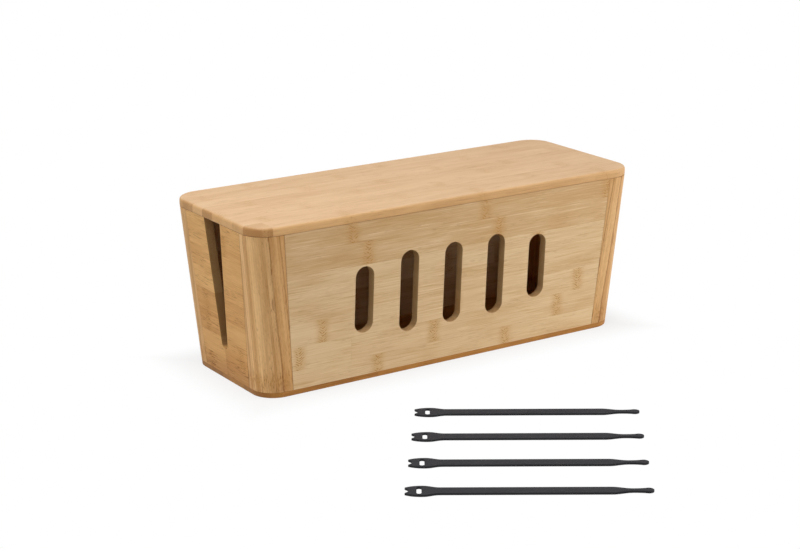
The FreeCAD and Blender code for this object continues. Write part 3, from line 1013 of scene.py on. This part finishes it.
# %% End panels
end_strips = {
    "left": [
        (0.35, 0.20, 0.5, 0.50),
        (0.30, 0.79, 0.5, 0.55),
        (0.42, 0.20, 0.5, 0.22),
        (0.36, 0.19, 0.5, 0.30),
        (0.48, 0.50, 0.5, 0.58),
        (0.52, 0.55, 0.5, 0.50),
        (0.40, 0.88, 0.5, 0.60),
        (0.50, 0.45, 0.5, 0.55),
    ],
    "right": random_strips(8, 11, 0.3, 0.6),
}
for name, hand in (("right", 1), ("left", -1)):
    outline = panel_outline(end_side)
    bm = bmesh.new()
    face_of(bm, outline[:3] + NOTCH_CORNERS + outline[3:])
    thicken(bm, (0, WALL, 0))
    round_edges(bm, sharp_edges(bm, at_notch_foot), NOTCH_FOOT_HALF, 12)
    bmesh.ops.remove_doubles(bm, verts=bm.verts, dist=FIT)
    round_edges(bm, sharp_edges(bm, on_notch_rim), NOTCH_RIM, 3)
    bmesh.ops.recalc_face_normals(bm, faces=bm.faces)
    add_tongues(bm, end_side)
    round_edges(bm, [edge for edge in board_rims(bm, end_side) if not in_notch(edge)], EDGE, 2)
    stand(bm, HALF_LENGTH, LENGTH_SPREAD, hand)
    # Painted shade: the ends' rims, notch walls and foot are painted darker.
    end_bamboo = bamboo(
        f"bamboo_end_{name}", ALONG_Y, UP, (1, 0, -hand * LENGTH_SPREAD), 0, 21, 160, end_strips[name],
        pale=colour(240, 190, 119), deep=colour(204, 145, 74), ends=(end_side(0) / MM, DEPTH_SPREAD),
        streaks=0.16, rim=0.8, foot=0.4, end_grain=(0.5, 0.6), pores=0.45, marks=1.3,
    )
    place(bm, f"{name}_end_panel", "box", end_bamboo, "bamboo_end")

# %% [markdown]
# ## Corner posts
# A post is an angle of upright strips with a round outer corner, cut from a laminated block. Its
# strips are much narrower than the boards', lean a little more than its edges and are streaked. One
# outline with both grooves is extruded, its outer and its inner corner are bevelled into arcs, and the
# other three posts are its mirror images.

# %% Plan of a post
POST_INNER_RADIUS = 6 * MM
GLUE_GAP = 0.08 * MM
GROOVE = (TONGUE_NEAR - GLUE_GAP, TONGUE_FAR + GLUE_GAP)
GROOVE_DEPTH = TONGUE_REACH + GLUE_GAP


def at_corner(x, y):
    """Picks upright edges at a place seen from above."""
    spot = Vector((x, y))
    return lambda edge: upright(edge) and all((vert.co.xy - spot).length < FIT for vert in edge.verts)


def post_plan():
    """Corners of a post seen from above: the leg along the end first, then the one along the front."""
    near, far = GROOVE
    end_floor = POST_END_LEG - GROOVE_DEPTH
    front_floor = GROOVE_DEPTH - POST_FRONT_LEG
    end_groove = [(-near, POST_END_LEG), (-near, end_floor), (-far, end_floor), (-far, POST_END_LEG)]
    front_groove = [(-POST_FRONT_LEG, far), (front_floor, far), (front_floor, near), (-POST_FRONT_LEG, near)]
    end_leg = [(0, 0), (0, POST_END_LEG), *end_groove, (-WALL, POST_END_LEG)]
    return [*end_leg, (-WALL, WALL), (-POST_FRONT_LEG, WALL), *front_groove, (-POST_FRONT_LEG, 0)]


def in_groove(edge):
    """Whether an edge belongs to one of a post's two grooves."""
    near, far = GROOVE

    def inside(vert):
        x, y = vert.co.xy
        in_front_leg = x < GROOVE_DEPTH + FIT - POST_FRONT_LEG and near - FIT < y < far + FIT
        in_end_leg = y > POST_END_LEG - GROOVE_DEPTH - FIT and near - FIT < -x < far + FIT
        return in_front_leg or in_end_leg

    return all(inside(vert) for vert in edge.verts)


print("a post's plan has", len(post_plan()), "corners")

# %% Strips of the posts
POST_STRIP = 3.015
STRIP_SLANT = 0.052
STRIPS_SPREAD = LENGTH_SPREAD - DEPTH_SPREAD + STRIP_SLANT
CORNER = (HALF_DEPTH - HALF_LENGTH) / MM
post_tones = {"front_left": [
    0.50, 0.55, 0.54, 0.26, 0.72, 0.72, 0.42, 0.36, 0.66, 0.78, 0.74,
    0.68, 0.54, 0.54, 0.40, 0.34, 0.52, 0.55, 0.26, 0.30, 0.40, 0.36,
]}
chance = random.Random(21)
for name in ("front_right", "back_right", "back_left"):
    post_tones[name] = [chance.uniform(0.3, 0.6) for _ in post_tones["front_left"]]
print("each post has", len(post_tones["front_left"]), "strips over its corner")

# %% Corner posts
POST_HANDS = {"front_right": (1, -1), "front_left": (-1, -1), "back_right": (1, 1), "back_left": (-1, 1)}

for name, (x_hand, y_hand) in POST_HANDS.items():
    bm = bmesh.new()
    face_of(bm, [(x, y, WALL_FOOT) for x, y in post_plan()])
    thicken(bm, (0, 0, WALL_TOP - WALL_FOOT))
    round_edges(bm, sharp_edges(bm, at_corner(0, 0)), CORNER_RADIUS, 18)
    round_edges(bm, sharp_edges(bm, at_corner(-WALL, WALL)), POST_INNER_RADIUS, 8)
    bmesh.ops.recalc_face_normals(bm, faces=bm.faces)
    round_edges(bm, sharp_edges(bm, lambda edge: edge.is_convex and not in_groove(edge)), EDGE, 2)
    lean(bm, LENGTH_SPREAD, -DEPTH_SPREAD)
    bmesh.ops.translate(bm, vec=(HALF_LENGTH, -HALF_DEPTH, 0), verts=bm.verts)
    bmesh.ops.scale(bm, vec=(x_hand, -y_hand, 1), verts=bm.verts)
    strips = [(tone, 0.09 + 0.02 * (index % 3), 1, 0) for index, tone in enumerate(post_tones[name])]
    across = (-x_hand, y_hand, STRIPS_SPREAD)
    through = (x_hand, y_hand, 0)
    # Painted shade: the posts are painted darker towards the floor.
    post_bamboo = bamboo(
        f"bamboo_post_{name}", UP, across, through, CORNER - 33, POST_STRIP, 320, strips,
        pale=colour(246, 201, 140), deep=colour(200, 146, 84), streaks=0.45, joints=0.3, hairs=0.05,
        foot=0.2, band_size=(110, 1.4, 1.4), slant=0.08,
        veins=[(CORNER + 21, 92, 0.4), (CORNER + 33, -50, 0.05)],
    )
    place(bm, f"{name}_post", "box", post_bamboo, "bamboo_post")

# %% [markdown]
# ## Fabric of the ties
# Cable ties of this kind are die-cut from a band of hook-and-loop fabric. The flat of the band has a
# fine nap, and the cut has sealed the rim all round, which is smoother and a little darker. The rim
# is where the surface no longer faces straight up or down, so the normal tells where it is.

# %% Tie fabric
TIE_TURN = math.radians(-33.5)
CLOTH_DEEP = colour(46, 46, 49)
CLOTH_PALE = colour(67, 66, 70)
SEALED_RIM = colour(30, 30, 33)

tie_fabric = Finish("tie_fabric")
along_tie = (math.cos(TIE_TURN), math.sin(TIE_TURN), 0)
across_tie = (-math.sin(TIE_TURN), math.cos(TIE_TURN), 0)
tie_spot = [tie_fabric.measure(axis) for axis in (along_tie, across_tie, UP)]
rim = 1 - tie_fabric.faces(UP).above(0.86, 0.995)
nap = tie_fabric.mottle(tie_spot, (0.5, 0.5, 0.5), detail=3, roughness=0.7)
ribs = tie_fabric.mottle(tie_spot, (14, 0.8, 2), detail=1)
wear = tie_fabric.mottle(tie_spot, (16, 6, 6))
tone = (nap - 0.5) * 0.9 + (ribs - 0.5) * 0.5 + (wear - 0.5) * 0.4 + 0.5
cloth = tie_fabric.blend(tone.above(0, 1), CLOTH_DEEP, CLOTH_PALE)
cloth = tie_fabric.blend(rim * 0.75, cloth, SEALED_RIM)
height = (nap + ribs * 0.5) * (1 - rim * 0.8)
tie_fabric.dress(cloth, 0.95 - rim * 0.3, height, 0.5, 0.3 * MM)
tie_fabric.shader.inputs["Specular IOR Level"].default_value = 0.2
print("tie fabric lies along", [round(value, 3) for value in along_tie])

# %% [markdown]
# ## Cable ties
# A tie has a wide head with two horns and a threading slot, a straight band, and a neck with a round
# tip that is easy to thread. Its outline is a smooth curve with few points, so a flat filled curve
# draws it, with the slot as a second curve inside. Filled and turned into a mesh, it is thickened
# and softened like the boards.

# %% Outline of a tie
OUTLINE = [
    ((-96.5, 0), (0, -2.4), (0, 2.4)),
    ((-99.6, 5.0), (0.9, -1.1), (-0.5, 0.6)),
    ((-99.2, 6.2), (-0.6, -0.3), (3.0, 1.9)),
    ((-86.0, 9.5), (-6.0, 0), (6.5, 0)),
    ((-71.0, 6.0), (-6.5, 0), (8.0, 0)),
    ((66.0, 6.0), (-8.0, 0), (6.0, 0)),
    ((82.5, 2.6), (-6.0, 0.2), (5.0, -0.1)),
    ((94.6, 3.8), (-2.6, -0.9), (1.8, 0.6)),
    ((100.0, 0), (0, 2.9), (0, -2.9)),
]
EYE_MIDDLE = -88.3
EYE_HALF_WIDTH = 2
EYE_HALF_LENGTH = 6.8
CIRCLE_BOW = 0.5523


def draw_outline(curve, points):
    """Closed spline through points, each its place, the handle before it and the handle after it."""
    spline = curve.splines.new("BEZIER")
    spline.bezier_points.add(len(points) - 1)
    spline.use_cyclic_u = True
    for bezier, (spot, before, after) in zip(spline.bezier_points, points):
        spot = Vector((*spot, 0))
        bezier.handle_left_type = bezier.handle_right_type = "FREE"
        bezier.co = spot * MM
        bezier.handle_left = (spot + Vector((*before, 0))) * MM
        bezier.handle_right = (spot + Vector((*after, 0))) * MM


def other_half(points):
    """The same points below the middle line, in the opposite order."""
    below = []
    for (x, y), before, after in reversed(points):
        below.append(((x, -y), (after[0], -after[1]), (before[0], -before[1])))
    return below


def eye_outline():
    """Round-ended slot across the tie."""
    straight = EYE_HALF_LENGTH - EYE_HALF_WIDTH
    bow = EYE_HALF_WIDTH * CIRCLE_BOW
    upper = [
        ((EYE_MIDDLE + EYE_HALF_WIDTH, straight), (0, -1), (0, bow)),
        ((EYE_MIDDLE, EYE_HALF_LENGTH), (bow, 0), (-bow, 0)),
        ((EYE_MIDDLE - EYE_HALF_WIDTH, straight), (0, bow), (0, -1)),
    ]
    return upper + other_half(upper)


print("half a tie has", len(OUTLINE), "points")

# %% Flat tie
curve = bpy.data.curves.new("tie_outline", "CURVE")
curve.dimensions = "2D"
curve.fill_mode = "BOTH"
curve.resolution_u = 10
draw_outline(curve, OUTLINE + other_half(OUTLINE[1:-1]))
draw_outline(curve, eye_outline())
drawing = bpy.data.objects.new("tie_outline", curve)
bpy.context.collection.objects.link(drawing)
bpy.context.view_layer.update()
flat_tie = bpy.data.meshes.new_from_object(drawing)
bpy.data.objects.remove(drawing)
print("tie outline:", len(flat_tie.vertices), "points")

# %% [markdown]
# All four ties are the same and lie side by side on the floor in front of the box. The place of each
# goes into its mesh, as with every other piece.

# %% Cable ties
TIE_THICKNESS = 2 * MM
TIE_EDGE = 0.35 * MM
TIE_FIRST = Vector((-24, -226, 0)) * MM
TIE_STEP = Vector((-35, -48, 0)) * MM
ALMOST_STRAIGHT = 0.005

for number in range(4):
    bm = bmesh.new()
    bm.from_mesh(flat_tie)
    bmesh.ops.remove_doubles(bm, verts=bm.verts, dist=FIT)
    bmesh.ops.dissolve_limit(bm, angle_limit=ALMOST_STRAIGHT, verts=bm.verts, edges=bm.edges)
    thicken(bm, (0, 0, TIE_THICKNESS))
    round_edges(bm, sharp_edges(bm, lambda edge: not upright(edge)), TIE_EDGE, 3, clamp=False)
    laid = Matrix.Translation(TIE_FIRST + TIE_STEP * number) @ Matrix.Rotation(TIE_TURN, 4, "Z")
    bmesh.ops.transform(bm, matrix=laid, verts=bm.verts)
    name = f"cable_tie_{number + 1}"
    place(bm, name, name, tie_fabric.material, "tie_fabric")
